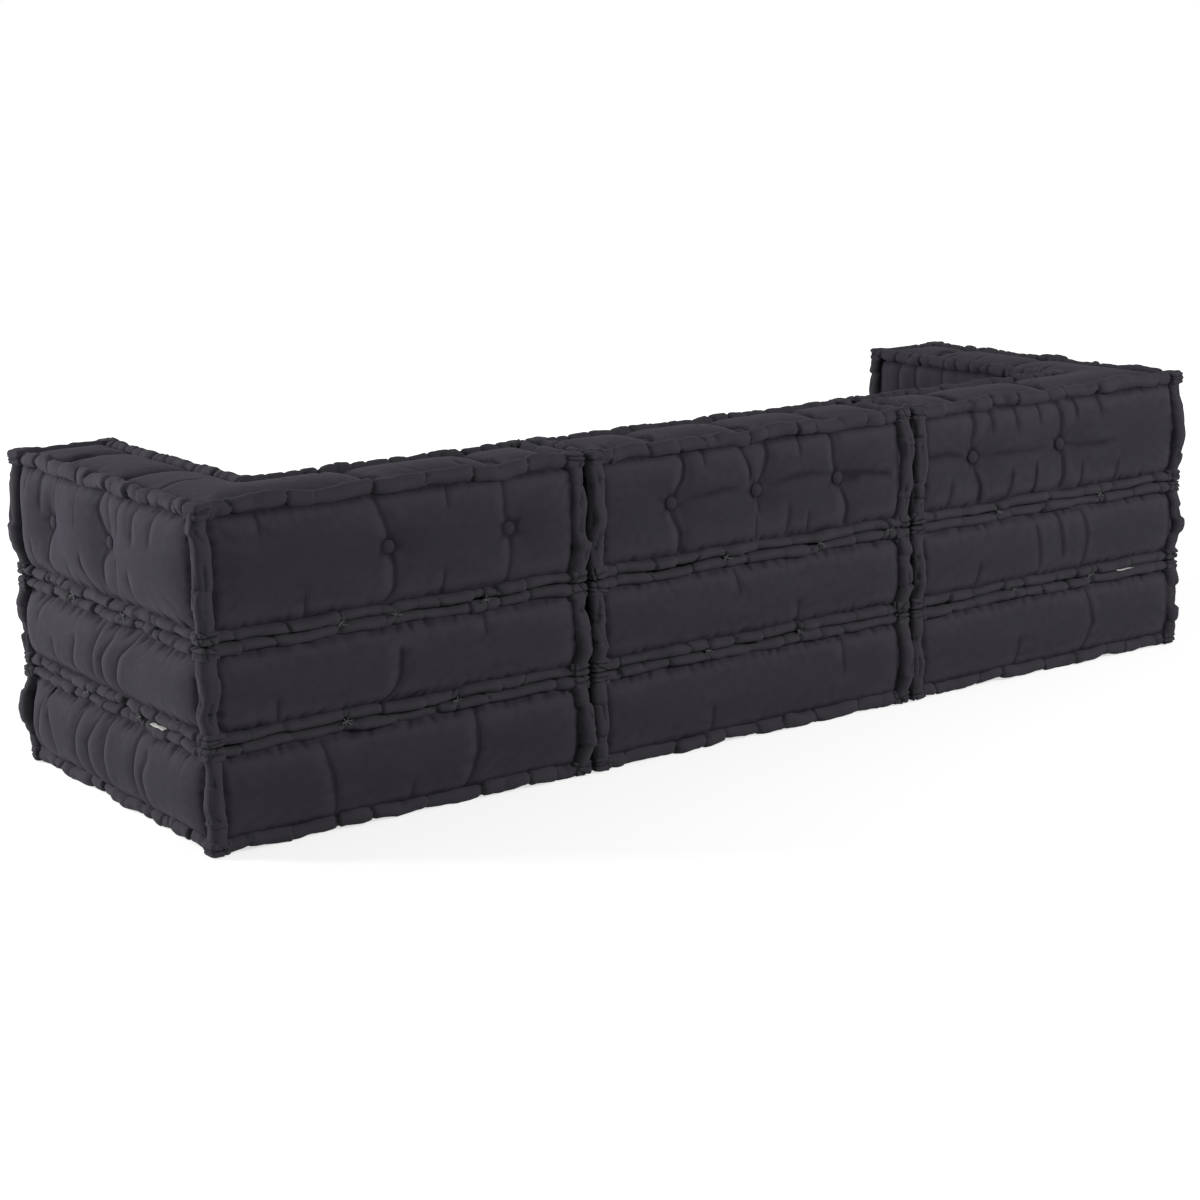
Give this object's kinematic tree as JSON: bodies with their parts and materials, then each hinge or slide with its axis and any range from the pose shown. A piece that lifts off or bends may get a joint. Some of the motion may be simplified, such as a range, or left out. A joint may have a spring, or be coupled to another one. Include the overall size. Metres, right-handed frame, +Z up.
{
  "type": "modular sofa",
  "caption": "Low modular floor sofa: a row of free-standing stuffed canvas modules with rolled edges, L-shaped arm and back pads and buttoned tufts.",
  "frame": {"origin": "on the floor, at the bottom centre of the sofa's box", "axes": "+X along the row to the sitter's left, +Y to the rear, +Z up; the front faces -Y"},
  "size_m": [2.1008, 0.712, 0.5514],
  "materials": {
    "canvas": "brushed cotton canvas, anthracite",
    "roll_canvas": "brushed cotton canvas, anthracite, rolled and stitched",
    "button_cloth": "cloth-covered button",
    "twine": "waxed cotton twine",
    "stuffing": "pressed cotton and polyester fibre",
    "tag_tape": "woven tape, blank"
  },
  "bodies": {
    "middle_module": {"middle_back_buttons": "button_cloth", "middle_back_cover": "canvas", "middle_back_edge_rolls": "roll_canvas", "middle_back_filling": "stuffing", "middle_back_tuft_cords": "twine", "middle_base_cover": "canvas", "middle_base_edge_rolls": "roll_canvas", "middle_base_filling": "stuffing", "middle_joining_stitches": "twine", "middle_seat_buttons": "button_cloth", "middle_seat_cover": "canvas", "middle_seat_edge_rolls": "roll_canvas", "middle_seat_filling": "stuffing", "middle_seat_tuft_cords": "twine"},
    "left_module": {"left_arm_edge_rolls": "roll_canvas", "left_back_buttons": "button_cloth", "left_back_cover": "canvas", "left_back_edge_rolls": "roll_canvas", "left_back_filling": "stuffing", "left_back_tuft_cords": "twine", "left_base_cover": "canvas", "left_base_edge_rolls": "roll_canvas", "left_base_filling": "stuffing", "left_care_tag": "tag_tape", "left_joining_stitches": "twine", "left_seat_buttons": "button_cloth", "left_seat_cover": "canvas", "left_seat_edge_rolls": "roll_canvas", "left_seat_filling": "stuffing", "left_seat_tuft_cords": "twine"},
    "right_module": {"right_arm_edge_rolls": "roll_canvas", "right_back_buttons": "button_cloth", "right_back_cover": "canvas", "right_back_edge_rolls": "roll_canvas", "right_back_filling": "stuffing", "right_back_tuft_cords": "twine", "right_base_cover": "canvas", "right_base_edge_rolls": "roll_canvas", "right_base_filling": "stuffing", "right_care_tag": "tag_tape", "right_joining_stitches": "twine", "right_seat_buttons": "button_cloth", "right_seat_cover": "canvas", "right_seat_edge_rolls": "roll_canvas", "right_seat_filling": "stuffing", "right_seat_tuft_cords": "twine"}
  },
  "joints": [
    {"name": "left_module_slide", "type": "slide", "parent": "middle_module", "child": "left_module", "axis": [1, 0, 0], "range_m": [0, 0.7]},
    {"name": "right_module_slide", "type": "slide", "parent": "middle_module", "child": "right_module", "axis": [-1, 0, 0], "range_m": [0, 0.7]}
  ]
}
